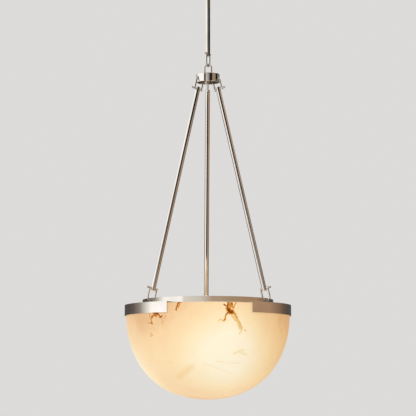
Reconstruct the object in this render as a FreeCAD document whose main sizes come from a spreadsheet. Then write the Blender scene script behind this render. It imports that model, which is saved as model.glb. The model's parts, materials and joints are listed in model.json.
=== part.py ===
import FreeCAD, Part
import math
import os
import Sketcher

# Alabaster bowl pendant, in millimetres.  The ceiling is the plane z = 0, the stem's
# axis is the Z axis and everything hangs below.  Three inclined rods carry a crown ring
# with three bracket tabs, and the tabs hold the stone bowl.

doc = FreeCAD.newDocument("alabaster_pendant")
sheet = doc.addObject("Spreadsheet::Sheet", "Sizes")

DRIVING_SIZES = (
    # ceiling end
    ("bar_length", 112.0), ("bar_width", 26.0), ("bar_thickness", 3.0),
    ("slot_spacing", 88.9), ("slot_length", 14.0), ("slot_width", 4.6),
    ("nipple_diameter", 10.0), ("nipple_wall", 1.5), ("nipple_length", 34.0),
    ("lock_nut_flats", 17.0), ("lock_nut_height", 6.0),
    ("ground_screw_offset", 24.0), ("screw_diameter", 4.0), ("screw_head_diameter", 7.5),
    ("screw_head_height", 2.5),
    ("canopy_diameter", 140.0), ("canopy_height", 28.0), ("canopy_wall", 1.2),
    ("canopy_corner", 9.0), ("collar_diameter", 27.0), ("collar_height", 12.0),
    ("collar_bevel", 1.2), ("thumb_screw_length", 12.0),
    # stem and rods
    ("stem_drop", 328.0), ("stem_diameter", 16.8), ("tube_wall", 1.6), ("tube_end", 7.5),
    ("plug_length", 24.0), ("rod_diameter", 17.0), ("rod_length", 763.6),
    # shackles and their pins
    ("wire_diameter", 6.5), ("shackle_width", 29.0), ("shackle_reach", 45.0),
    ("eye_diameter", 9.6), ("eye_thickness", 7.0), ("pin_diameter", 5.0),
    ("pin_head_diameter", 8.6), ("pin_head_offset", 9.5), ("top_pin_azimuth", 245.0),
    # hub
    ("hub_radius", 42.8), ("hub_height", 31.0), ("hub_wall", 5.0), ("hub_bevel", 1.0),
    ("hub_hole_diameter", 12.0), ("hub_hole_drop", 15.1), ("upper_lean", 4.5),
    ("loop_width", 27.0), ("loop_height", 37.0), ("loop_nut_flats", 11.0),
    ("loop_nut_height", 6.0), ("bushing_diameter", 13.0), ("bushing_wall", 2.0),
    # crown ring and tabs
    ("ring_radius", 238.0), ("ring_thickness", 6.0), ("ring_height", 20.0),
    ("ring_hole_diameter", 11.0), ("ring_hole_height", 9.5), ("lower_lean", 2.5),
    ("tab_radius", 303.0), ("tab_thickness", 4.0), ("apron_height", 39.0),
    ("tab_angle", 60.0), ("plate_step", 4.0), ("ring_screw_angle", 20.0),
    ("ring_screw_depth", 9.0),
    # stone, its liners and clamps
    ("stone_gap", 1.0), ("rim_gap", 0.8), ("stone_wall", 12.0), ("stone_depth", 336.2),
    ("stone_straight", 21.0), ("side_fullness", 0.62), ("bottom_fullness", 0.60),
    ("stud_diameter", 5.0), ("stud_angle", 17.0), ("stud_drop", 15.5), ("stud_length", 27.0),
    ("stud_socket", 2.0), ("bush_diameter", 9.0), ("clamp_thickness", 2.5),
    ("clamp_height", 14.0), ("clamp_angle", 48.0), ("stud_nut_flats", 8.0),
    ("stud_nut_height", 4.0), ("liner_height", 30.0), ("liner_angle", 58.0),
    # lamp cluster
    ("spider_thickness", 3.0), ("spider_width", 16.0), ("spider_lift", 2.0),
    ("spider_disc_radius", 35.0), ("spider_hole_diameter", 12.0), ("lug_height", 15.0),
    ("lug_screw_depth", 4.0), ("cup_radius", 32.0), ("cup_height", 28.0), ("cup_wall", 2.0),
    ("lamp_azimuth", 286.0), ("lamp_tilt", 45.0), ("lamp_radius", 50.0), ("lamp_drop", 25.0),
    ("lamp_nipple_length", 36.0), ("holder_radius", 19.0), ("holder_length", 42.0),
    ("holder_depth", 28.0), ("cap_radius", 13.0), ("cap_length", 26.0),
    ("button_radius", 4.0), ("button_height", 1.5), ("globe_radius", 30.0),
    ("globe_offset", 50.0), ("glass_wall", 1.0),
    # fits
    ("running_gap", 0.05), ("seat_gap", 0.3), ("swing_gap", 0.6), ("link_gap", 0.1),
    ("slide_gap", 0.1), ("canopy_gap", 0.5), ("cap_gap", 0.2), ("facet_gap", 0.1),
)
ATTACHMENTS = (90.0, 210.0, 330.0)  # azimuths of the rods, shackles and tabs
GAPS = (30.0, 150.0, 270.0)  # azimuths midway between two tabs

for row, (alias, number) in enumerate(DRIVING_SIZES, start=1):
    sheet.set("A%d" % row, alias)
    sheet.set("B%d" % row, str(number))
    sheet.setAlias("B%d" % row, alias)
doc.recompute()


class Size:
    """A length that carries its number and the sheet formula that the number comes from."""

    def __init__(self, number, formula):
        self.number = number
        self.formula = formula

    def joined(self, sign, other, number):
        right = other.formula if isinstance(other, Size) else repr(float(other))
        return Size(number, "(%s %s %s)" % (self.formula, sign, right))

    def __add__(self, other):
        return self.joined("+", other, self.number + float(other))

    def __sub__(self, other):
        return self.joined("-", other, self.number - float(other))

    def __mul__(self, other):
        return self.joined("*", other, self.number * float(other))

    def __truediv__(self, other):
        return self.joined("/", other, self.number / float(other))

    def __neg__(self):
        return Size(-self.number, "(0 - %s)" % self.formula)

    def __float__(self):
        return float(self.number)


class Sheet:
    """The driving sizes by name, read from the spreadsheet."""

    def __init__(self):
        for alias, _ in DRIVING_SIZES:
            setattr(self, alias, Size(float(sheet.get(alias)), "Sizes." + alias))


S = Sheet()
ZERO = Size(0.0, "0")
X_AXIS = FreeCAD.Vector(1, 0, 0)
Y_AXIS = FreeCAD.Vector(0, 1, 0)
Z_AXIS = FreeCAD.Vector(0, 0, 1)
nodes = []


# ---------------------------------------------------------------- building blocks

def tie(obj, prop, value):
    """Bind a property to the sheet where its value comes from there, else set it."""
    if isinstance(value, Size):
        obj.setExpression(prop, value.formula)
    else:
        setattr(obj, prop, value)


def place(obj, at=(0, 0, 0), axis=Z_AXIS, angle=0.0):
    """Turn an object by angle about axis, then move it to the point at."""
    base = FreeCAD.Vector(*[float(value) for value in at])
    obj.Placement = FreeCAD.Placement(base, FreeCAD.Rotation(axis, angle))
    for letter, value in zip("xyz", at):
        if isinstance(value, Size):
            obj.setExpression("Placement.Base." + letter, value.formula)
    return obj


def cylinder(name, radius, height, at=(0, 0, 0), axis=Z_AXIS, angle=0.0):
    obj = doc.addObject("Part::Cylinder", name)
    tie(obj, "Radius", radius)
    tie(obj, "Height", height)
    return place(obj, at, axis, angle)


def cross_cylinder(name, radius, start, length, z=0.0):
    """A cylinder along +X from x = start, at height z."""
    return cylinder(name, radius, length, (start, 0, z), Y_AXIS, 90.0)


def box(name, length, width, height, at):
    obj = doc.addObject("Part::Box", name)
    tie(obj, "Length", length)
    tie(obj, "Width", width)
    tie(obj, "Height", height)
    return place(obj, at)


def sphere(name, radius, at):
    obj = doc.addObject("Part::Sphere", name)
    tie(obj, "Radius", radius)
    return place(obj, at)


def cone(name, low_radius, high_radius, height, at):
    obj = doc.addObject("Part::Cone", name)
    tie(obj, "Radius1", low_radius)
    tie(obj, "Radius2", high_radius)
    tie(obj, "Height", height)
    return place(obj, at)


def hexagon(name, flats, height, at):
    """A hexagonal prism, sized across its flats."""
    obj = doc.addObject("Part::Prism", name)
    obj.Polygon = 6
    tie(obj, "Circumradius", flats / math.sqrt(3.0))
    tie(obj, "Height", height)
    return place(obj, at)


def half_ring(name, radius, wire_radius, at, up):
    """Half a torus in the XZ plane: the upper half if up, else the lower."""
    obj = doc.addObject("Part::Torus", name)
    tie(obj, "Radius1", radius)
    tie(obj, "Radius2", wire_radius)
    obj.Angle3 = 180.0
    return place(obj, at, X_AXIS, 90.0 if up else -90.0)


def fuse(name, parts):
    obj = doc.addObject("Part::MultiFuse", name)
    obj.Shapes = parts
    return obj


def cut(name, base, tools):
    obj = doc.addObject("Part::Cut", name)
    obj.Base = base
    obj.Tool = tools[0] if len(tools) == 1 else fuse(name + "_cutters", tools)
    return obj


def group(name, parts):
    """Several like solids that stay separate in one node."""
    obj = doc.addObject("Part::Compound", name)
    obj.Links = parts
    return obj


def turned(name, outline, angle=360.0):
    """A body turned about its Z axis from (radius, height) corners, centred on +X."""
    body = doc.addObject("PartDesign::Body", name)
    plane = [item for item in body.Origin.OriginFeatures if item.Role == "XZ_Plane"][0]
    sketch = body.newObject("Sketcher::SketchObject", name + "_outline")
    sketch.AttachmentSupport = (plane, [""])
    sketch.MapMode = "FlatFace"
    corners = [FreeCAD.Vector(float(r), float(z), 0) for r, z in outline]
    count = len(corners)
    for index, corner in enumerate(corners):
        sketch.addGeometry(Part.LineSegment(corner, corners[(index + 1) % count]))
    for index in range(count):
        following = (index + 1) % count
        sketch.addConstraint(Sketcher.Constraint("Coincident", index, 2, following, 1))
    for index, point in enumerate(outline):
        for kind, value in zip(("DistanceX", "DistanceY"), point):
            rule = Sketcher.Constraint(kind, -1, 1, index, 1, float(value))
            number = sketch.addConstraint(rule)
            if isinstance(value, Size):
                sketch.setExpression("Constraints[%d]" % number, value.formula)
    turning = body.newObject("PartDesign::Revolution", name + "_turning")
    turning.Profile = sketch
    turning.ReferenceAxis = (sketch, ["V_Axis"])
    tie(turning, "Angle", angle)
    turning.Midplane = True
    body.Tip = turning
    return body


def rounded(body, radius, edge_radius, edge_height):
    """Round the circular edge of a turned body that has this radius and height."""
    doc.recompute()
    names = []
    for number, edge in enumerate(body.Shape.Edges, start=1):
        curve = edge.Curve
        if not isinstance(curve, Part.Circle) or abs(curve.Axis.z) < 0.99:
            continue
        if abs(curve.Radius - float(edge_radius)) < 1e-4 and abs(
                curve.Center.z - float(edge_height)) < 1e-4:
            names.append("Edge%d" % number)
    previous = body.Tip
    fillet = body.newObject("PartDesign::Fillet", body.Name + "_round")
    fillet.Base = (previous, names)
    tie(fillet, "Radius", radius)
    body.Tip = fillet
    return body


def radial(azimuth, radius, z, lean=0.0, flip=False):
    """A place at an azimuth: X points outward and up by lean, Z up; flip turns Z down."""
    turn = FreeCAD.Rotation(Z_AXIS, azimuth).multiply(FreeCAD.Rotation(Y_AXIS, -lean))
    if flip:
        turn = turn.multiply(FreeCAD.Rotation(X_AXIS, 180.0))
    angle = math.radians(azimuth)
    base = FreeCAD.Vector(radius * math.cos(angle), radius * math.sin(angle), z)
    return FreeCAD.Placement(base, turn)


def node(label, obj, placement=None):
    """Name a finished sub-part and, where given, put it in its place."""
    obj.Label = label
    if placement is not None:
        obj.Placement = placement
    nodes.append(obj)
    return obj


# ---------------------------------------------------------------- where things sit

bow_radius = float(S.shackle_width) / 2
wire_radius = float(S.wire_diameter) / 2
arc_reach = float(S.shackle_reach) - bow_radius  # pin to the centre of the bow's arc
hub_arc_radius = float(S.hub_radius - S.hub_wall / 2 - S.upper_lean)
ring_middle = float(S.ring_radius - S.ring_thickness / 2)
ring_arc_radius = ring_middle + float(S.lower_lean)
run = ring_arc_radius - hub_arc_radius
ROD_LEAN = math.degrees(math.asin(run / (float(S.rod_length) + 2 * arc_reach)))
lean_sin = math.sin(math.radians(ROD_LEAN))
lean_cos = math.cos(math.radians(ROD_LEAN))


def inner_rise(offset):
    """Height of the bow's inner side above its arc's centre, at a sideways offset."""
    return math.sqrt((bow_radius - wire_radius) ** 2 - offset ** 2)


TOP_PIN_Z = -float(S.stem_drop)
LOOP_Z = TOP_PIN_Z - float(S.shackle_reach - S.wire_diameter - S.link_gap)
HUB_TOP = LOOP_Z - float(S.loop_height)
HUB_HOLE_Z = HUB_TOP - float(S.hub_hole_drop)
hub_seat = HUB_HOLE_Z - float(S.hub_hole_diameter / 2 - S.seat_gap)
hub_arc_z = hub_seat - inner_rise(float(S.hub_radius) - hub_arc_radius)
UPPER_PIN = (hub_arc_radius + arc_reach * lean_sin, hub_arc_z - arc_reach * lean_cos)
rod_run = float(S.rod_length)
LOWER_PIN = (UPPER_PIN[0] + rod_run * lean_sin, UPPER_PIN[1] - rod_run * lean_cos)
ring_arc_z = LOWER_PIN[1] - arc_reach * lean_cos
inner_offset = float(S.ring_thickness / 2 + S.lower_lean)
ring_seat = ring_arc_z - inner_rise(inner_offset) + float(S.swing_gap)
RING_HOLE_Z = ring_seat - float(S.ring_hole_diameter) / 2
RING_Z = RING_HOLE_Z - float(S.ring_hole_height)  # underside of the ring, top of the tabs
RIM_Z = RING_Z - float(S.tab_thickness + S.rim_gap)
STUD_Z = RING_Z - float(S.stud_drop)
print("rod lean %.3f deg, upper pin r %.2f z %.2f" % (ROD_LEAN, UPPER_PIN[0], UPPER_PIN[1]))
print("lower pin r %.2f z %.2f, ring z %.2f" % (LOWER_PIN[0], LOWER_PIN[1], RING_Z))

stone_radius = S.tab_radius - S.tab_thickness - S.stone_gap
stone_bore = stone_radius - S.stone_wall


# ---------------------------------------------------------------- ceiling end

def slot(name, side):
    """A cutter for one of the bar's slots, on side +1 or -1."""
    half = (S.slot_length - S.slot_width) / 2
    centre = S.slot_spacing * (0.5 * side)
    low = -S.bar_thickness
    ends = [cylinder(name + "_a", S.slot_width / 2, S.bar_thickness, (centre - half, 0, low)),
            cylinder(name + "_b", S.slot_width / 2, S.bar_thickness, (centre + half, 0, low))]
    middle = box(name + "_c", half * 2, S.slot_width, S.bar_thickness,
                 (centre - half, -S.slot_width / 2, low))
    return fuse(name, ends + [middle])


def make_ceiling_end():
    low = -S.bar_thickness
    bar = box("bar_blank", S.bar_length, S.bar_width, S.bar_thickness,
              (-S.bar_length / 2, -S.bar_width / 2, low))
    holes = [slot("slot_left", -1), slot("slot_right", 1),
             cylinder("nipple_hole", S.nipple_diameter / 2, S.bar_thickness, (0, 0, low)),
             cylinder("ground_hole", S.screw_diameter / 2, S.bar_thickness,
                      (S.ground_screw_offset, 0, low))]
    node("crossbar", cut("crossbar", bar, holes))

    tube = cylinder("nipple_tube", S.nipple_diameter / 2, S.nipple_length,
                    (0, 0, -S.nipple_length))
    bore = cylinder("nipple_bore", S.nipple_diameter / 2 - S.nipple_wall, S.nipple_length,
                    (0, 0, -S.nipple_length))
    node("threaded_nipple", cut("threaded_nipple", tube, [bore]))

    nut_z = -(S.bar_thickness + S.lock_nut_height)
    nut = hexagon("lock_nut_blank", S.lock_nut_flats, S.lock_nut_height, (0, 0, nut_z))
    bore = cylinder("lock_nut_bore", S.nipple_diameter / 2, S.lock_nut_height, (0, 0, nut_z))
    node("lock_nut", cut("lock_nut", nut, [bore]))

    shank = cylinder("ground_shank", S.screw_diameter / 2, S.bar_thickness,
                     (S.ground_screw_offset, 0, low))
    head = cylinder("ground_head", S.screw_head_diameter / 2, S.screw_head_height,
                    (S.ground_screw_offset, 0, low - S.screw_head_height))
    node("ground_screw", fuse("ground_screw", [shank, head]))


def make_stem():
    top = -(S.bar_thickness + S.lock_nut_height)
    foot = -(S.stem_drop + S.tube_end)
    bore_radius = S.stem_diameter / 2 - S.tube_wall
    hole_radius = S.pin_diameter / 2 + S.running_gap
    turn = FreeCAD.Placement(FreeCAD.Vector(), FreeCAD.Rotation(Z_AXIS, float(S.top_pin_azimuth)))

    def pin_hole(name):
        return cross_cylinder(name, hole_radius, -S.stem_diameter, S.stem_diameter * 2,
                              -S.stem_drop)

    tube = cylinder("stem_tube", S.stem_diameter / 2, top - foot, (0, 0, foot))
    bore = cylinder("stem_bore", bore_radius, top - foot, (0, 0, foot))
    node("stem", cut("stem", tube, [bore, pin_hole("stem_pin_hole")]), turn)
    plug = cylinder("foot_plug_blank", bore_radius, S.plug_length, (0, 0, foot))
    node("stem_foot_plug", cut("stem_foot_plug", plug, [pin_hole("foot_pin_hole")]), turn)
    insert = cylinder("insert_blank", bore_radius, S.plug_length, (0, 0, top - S.plug_length))
    thread = cylinder("insert_thread", S.nipple_diameter / 2, S.plug_length,
                      (0, 0, top - S.plug_length))
    node("stem_thread_insert", cut("stem_thread_insert", insert, [thread]))


def make_canopy():
    radius = S.canopy_diameter / 2
    inside = radius - S.canopy_wall
    hole = S.stem_diameter / 2 + S.canopy_gap
    floor = -S.canopy_height
    body = turned("canopy", [(hole, floor), (radius, floor), (radius, ZERO), (inside, ZERO),
                             (inside, floor + S.canopy_wall), (hole, floor + S.canopy_wall)])
    rounded(body, S.canopy_corner, radius, floor)
    rounded(body, S.canopy_corner - S.canopy_wall, inside, floor + S.canopy_wall)
    node("canopy", body)

    bore = S.stem_diameter / 2 + S.slide_gap
    rim = S.collar_diameter / 2
    low = floor - S.collar_height
    blank = turned("collar_blank", [(bore, low), (rim - S.collar_bevel, low),
                                    (rim, low + S.collar_bevel), (rim, floor), (bore, floor)])
    middle = floor - S.collar_height / 2
    hole = cross_cylinder("collar_thread", S.screw_diameter / 2, 0.0, S.collar_diameter, middle)
    node("canopy_collar", cut("canopy_collar", blank, [hole]))
    shank = cross_cylinder("thumb_shank", S.screw_diameter / 2, bore, S.thumb_screw_length,
                           middle)
    head = cross_cylinder("thumb_head", S.screw_head_diameter / 2, bore + S.thumb_screw_length,
                          S.screw_head_height, middle)
    node("collar_thumb_screw", fuse("collar_thumb_screw", [shank, head]))


# ---------------------------------------------------------------- shackles

def make_shackle(bow_label, pin_label, placement):
    """A U bow with its pin along X through the origin and its bow below."""
    half = S.shackle_width / 2
    wire = S.wire_diameter / 2
    arc_z = S.shackle_width / 2 - S.shackle_reach
    parts = [half_ring(bow_label + "_arc", half, wire, (0, 0, arc_z), up=False)]
    for side, sign in (("inner", -1.0), ("outer", 1.0)):
        leg = cylinder("%s_%s_leg" % (bow_label, side), wire, -arc_z, (half * sign, 0, arc_z))
        eye = cross_cylinder("%s_%s_eye" % (bow_label, side), S.eye_diameter / 2,
                             half * sign - S.eye_thickness / 2, S.eye_thickness)
        parts += [leg, eye]
    span = S.shackle_width + S.eye_thickness
    hole = cross_cylinder(bow_label + "_hole", S.pin_diameter / 2, -span / 2, span)
    node(bow_label, cut(bow_label, fuse(bow_label + "_blank", parts), [hole]), placement)
    head = sphere(pin_label + "_head", S.pin_head_diameter / 2, (half + S.pin_head_offset, 0, 0))
    shaft = cross_cylinder(pin_label + "_shaft", S.pin_diameter / 2, -span / 2,
                           span / 2 + half + S.pin_head_offset)
    node(pin_label, fuse(pin_label, [shaft, head]), placement)


def make_shackles():
    make_shackle("top_shackle", "top_pin", radial(float(S.top_pin_azimuth), 0.0, TOP_PIN_Z))
    for number, azimuth in enumerate(ATTACHMENTS, start=1):
        make_shackle("upper_shackle_%d" % number, "upper_pin_%d" % number,
                     radial(azimuth, UPPER_PIN[0], UPPER_PIN[1], ROD_LEAN, flip=True))
        make_shackle("lower_shackle_%d" % number, "lower_pin_%d" % number,
                     radial(azimuth, LOWER_PIN[0], LOWER_PIN[1], ROD_LEAN))


# ---------------------------------------------------------------- hub

def make_hub():
    """The inverted hub cup, its wire loop, nuts and bushing; z = 0 is the hub's top."""
    loop_turn = float(S.top_pin_azimuth) + 90.0
    here = FreeCAD.Placement(FreeCAD.Vector(0, 0, HUB_TOP), FreeCAD.Rotation(Z_AXIS, loop_turn))
    wire = S.wire_diameter / 2
    half = S.loop_width / 2
    edge = S.hub_radius
    inside = S.hub_radius - S.hub_wall
    low = -S.hub_height
    hole = S.bushing_diameter / 2
    bevel = S.hub_bevel
    blank = turned("hub_blank", [(hole, ZERO), (edge - bevel, ZERO), (edge, -bevel),
                                 (edge, low + bevel), (edge - bevel, low), (inside, low),
                                 (inside, -S.hub_wall), (hole, -S.hub_wall)])
    cutters = [cylinder("loop_hole_a", wire, S.hub_wall, (half, 0, -S.hub_wall)),
               cylinder("loop_hole_b", wire, S.hub_wall, (-half, 0, -S.hub_wall))]
    for number, azimuth in enumerate(ATTACHMENTS, start=1):
        cutter = cross_cylinder("bow_hole_%d" % number, S.hub_hole_diameter / 2, 0.0, edge)
        cutter.Placement = FreeCAD.Placement(
            FreeCAD.Vector(0, 0, -float(S.hub_hole_drop)),
            FreeCAD.Rotation(Z_AXIS, azimuth - loop_turn).multiply(FreeCAD.Rotation(Y_AXIS, 90)))
        start = cutter.Placement.Rotation.multVec(FreeCAD.Vector(0, 0, float(inside) / 2))
        cutter.Placement.Base = cutter.Placement.Base + start
        cutters.append(cutter)
    node("hub_cup", cut("hub_cup", blank, cutters), here)

    tail = S.hub_wall + S.loop_nut_height + 1.5
    straight = S.loop_height - half
    parts = [half_ring("loop_arc", half, wire, (0, 0, straight), up=True)]
    for side, sign in (("a", 1.0), ("b", -1.0)):
        parts.append(cylinder("loop_leg_" + side, wire, straight + tail,
                              (half * sign, 0, -tail)))
    node("hub_loop", fuse("hub_loop", parts), here)

    nut_z = -(S.hub_wall + S.loop_nut_height)
    nuts = []
    for side, sign in (("a", 1.0), ("b", -1.0)):
        at = (half * sign, 0, nut_z)
        nut = hexagon("loop_nut_blank_" + side, S.loop_nut_flats, S.loop_nut_height, at)
        bore = cylinder("loop_nut_bore_" + side, wire, S.loop_nut_height, at)
        nuts.append(cut("loop_nut_" + side, nut, [bore]))
    node("loop_nuts", group("loop_nuts", nuts), here)

    bore = hole - S.bushing_wall
    lip = S.bushing_wall
    bushing = turned("wire_bushing", [(bore, lip), (hole + lip, lip), (hole + lip, ZERO),
                                      (hole, ZERO), (hole, -S.hub_wall), (bore, -S.hub_wall)])
    node("wire_bushing", bushing, here)


# ---------------------------------------------------------------- rods

def make_rods():
    """Tubes with plugged ends; each rod's frame has its upper pin at the origin."""
    bore_radius = S.rod_diameter / 2 - S.tube_wall
    hole_radius = S.pin_diameter / 2 + S.running_gap
    low = -(S.rod_length + S.tube_end)
    full = S.rod_length + S.tube_end * 2
    for number, azimuth in enumerate(ATTACHMENTS, start=1):
        here = radial(azimuth, UPPER_PIN[0], UPPER_PIN[1], ROD_LEAN)

        def pin_hole(name, z):
            return cross_cylinder(name, hole_radius, -S.rod_diameter, S.rod_diameter * 2, z)

        label = "rod_%d" % number
        tube = cylinder(label + "_tube", S.rod_diameter / 2, full, (0, 0, low))
        cutters = [cylinder(label + "_bore", bore_radius, full, (0, 0, low)),
                   pin_hole(label + "_hole_top", 0.0), pin_hole(label + "_hole_low",
                                                                -S.rod_length)]
        node(label, cut(label, tube, cutters), here)
        plugs = []
        for end, z, pin_z in (("top", S.tube_end - S.plug_length, 0.0),
                              ("low", low, -S.rod_length)):
            name = "%s_%s_plug" % (label, end)
            blank = cylinder(name + "_blank", bore_radius, S.plug_length, (0, 0, z))
            plugs.append(cut(name, blank, [pin_hole(name + "_hole", pin_z)]))
        node(label + "_plugs", group(label + "_plugs", plugs), here)


# ---------------------------------------------------------------- ring and tabs

def ring_screw_azimuths():
    """The azimuths of the screws that join each tab to the ring, as offsets from a tab."""
    return (-float(S.ring_screw_angle), float(S.ring_screw_angle))


def upright(name, radius, height, azimuth, at_radius, z):
    """A vertical cylinder standing at an azimuth."""
    obj = cylinder(name, radius, height)
    obj.Placement = radial(azimuth, float(at_radius), float(z))
    return obj


def outward(name, radius, length, azimuth, start, z):
    """A horizontal cylinder along the outward direction of an azimuth."""
    obj = cylinder(name, radius, length)
    here = radial(azimuth, float(start), float(z))
    obj.Placement = here.multiply(FreeCAD.Placement(FreeCAD.Vector(),
                                                    FreeCAD.Rotation(Y_AXIS, 90.0)))
    return obj


def make_ring():
    """The crown ring: z = 0 is its underside, which stands on the tabs."""
    here = FreeCAD.Placement(FreeCAD.Vector(0, 0, RING_Z), FreeCAD.Rotation())
    inside = S.ring_radius - S.ring_thickness
    blank = turned("ring_blank", [(inside, ZERO), (S.ring_radius, ZERO),
                                  (S.ring_radius, S.ring_height), (inside, S.ring_height)])
    cutters = []
    for number, azimuth in enumerate(ATTACHMENTS, start=1):
        cutters.append(outward("ring_hole_%d" % number, S.ring_hole_diameter / 2,
                               S.ring_thickness * 3, azimuth, inside - S.ring_thickness,
                               S.ring_hole_height))
        for side, offset in zip("ab", ring_screw_azimuths()):
            cutters.append(upright("ring_thread_%d%s" % (number, side), S.screw_diameter / 2,
                                   S.ring_screw_depth, azimuth + offset, ring_middle, 0.0))
    for number, azimuth in enumerate(GAPS, start=1):
        cutters.append(outward("lug_thread_%d" % number, S.screw_diameter / 2,
                               S.lug_screw_depth + S.screw_diameter, azimuth,
                               inside - S.screw_diameter, lug_screw_z()))
    node("crown_ring", cut("crown_ring", blank, cutters), here)


def lug_screw_z():
    """Height of the lamp spider's screws above the ring's underside."""
    return S.spider_lift + S.lug_height * 0.6


def stud_azimuths():
    return (-float(S.stud_angle), float(S.stud_angle))


def make_tabs():
    """Inverted L tabs: a flat plate under the ring and an apron down outside the stone."""
    thick = S.tab_thickness
    inside = S.ring_radius - S.ring_thickness - S.plate_step
    apron_inside = S.tab_radius - thick
    screws = []
    for number, azimuth in enumerate(ATTACHMENTS, start=1):
        here = radial(azimuth, 0.0, RING_Z)
        label = "tab_bracket_%d" % number
        blank = turned(label + "_blank",
                       [(inside, ZERO), (S.tab_radius, ZERO), (S.tab_radius, -S.apron_height),
                        (apron_inside, -S.apron_height), (apron_inside, -thick),
                        (inside, -thick)], angle=S.tab_angle)
        cutters = []
        for side, offset in zip("ab", ring_screw_azimuths()):
            cutters.append(upright("%s_hole_%s" % (label, side), S.screw_diameter / 2, thick,
                                   offset, ring_middle, -thick))
            shank = upright("ring_screw_shank_%d%s" % (number, side), S.screw_diameter / 2,
                            thick + S.ring_screw_depth, azimuth + offset, ring_middle,
                            RING_Z - float(thick))
            head = upright("ring_screw_head_%d%s" % (number, side), S.screw_head_diameter / 2,
                           S.screw_head_height, azimuth + offset, ring_middle,
                           RING_Z - float(thick + S.screw_head_height))
            screws.append(fuse("ring_screw_%d%s" % (number, side), [shank, head]))
        for side, offset in zip("ab", stud_azimuths()):
            cutters.append(outward("%s_stud_socket_%s" % (label, side), S.stud_diameter / 2,
                                   S.stud_socket * 2, offset, apron_inside - S.stud_socket,
                                   -S.stud_drop))
        node(label, cut(label, blank, cutters), here)
    node("ring_screws", group("ring_screws", screws))


# ---------------------------------------------------------------- stone and clamps

def stone_curve(radius, straight_z, bottom_z):
    """A quarter outline from the straight wall's end to the bottom, as one Bezier curve."""
    drop = straight_z - bottom_z
    curve = Part.BezierCurve()
    curve.setPoles([
        FreeCAD.Vector(radius, 0, straight_z),
        FreeCAD.Vector(radius, 0, straight_z - float(S.side_fullness) * drop),
        FreeCAD.Vector(radius * float(S.bottom_fullness), 0, bottom_z),
        FreeCAD.Vector(0, 0, bottom_z)])
    return curve.toShape()


def make_stone():
    """The stone bowl: a short straight rim, then one full curve to the bottom."""
    outer = float(stone_radius)
    inner = float(stone_bore)
    straight_z = RIM_Z - float(S.stone_straight)
    bottom_z = RIM_Z - float(S.stone_depth)
    inner_bottom_z = bottom_z + float(S.stone_wall)
    corners = [FreeCAD.Vector(inner, 0, straight_z), FreeCAD.Vector(inner, 0, RIM_Z),
               FreeCAD.Vector(outer, 0, RIM_Z), FreeCAD.Vector(outer, 0, straight_z)]
    edges = [Part.makeLine(a, b) for a, b in zip(corners, corners[1:])]
    edges.append(stone_curve(outer, straight_z, bottom_z))
    edges.append(Part.makeLine(FreeCAD.Vector(0, 0, bottom_z),
                               FreeCAD.Vector(0, 0, inner_bottom_z)))
    edges.append(stone_curve(inner, straight_z, inner_bottom_z))
    outline = Part.Wire(Part.__sortEdges__(edges))
    blank = doc.addObject("Part::Feature", "stone_blank")
    blank.Shape = Part.Face(outline).revolve(FreeCAD.Vector(), Z_AXIS, 360)
    holes = []
    for number, azimuth in enumerate(ATTACHMENTS, start=1):
        for side, offset in zip("ab", stud_azimuths()):
            holes.append(outward("stone_hole_%d%s" % (number, side), S.bush_diameter / 2,
                                 S.stone_wall * 3, azimuth + offset,
                                 stone_bore - S.stone_wall, STUD_Z))
    node("alabaster_bowl", cut("alabaster_bowl", blank, holes))


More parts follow.
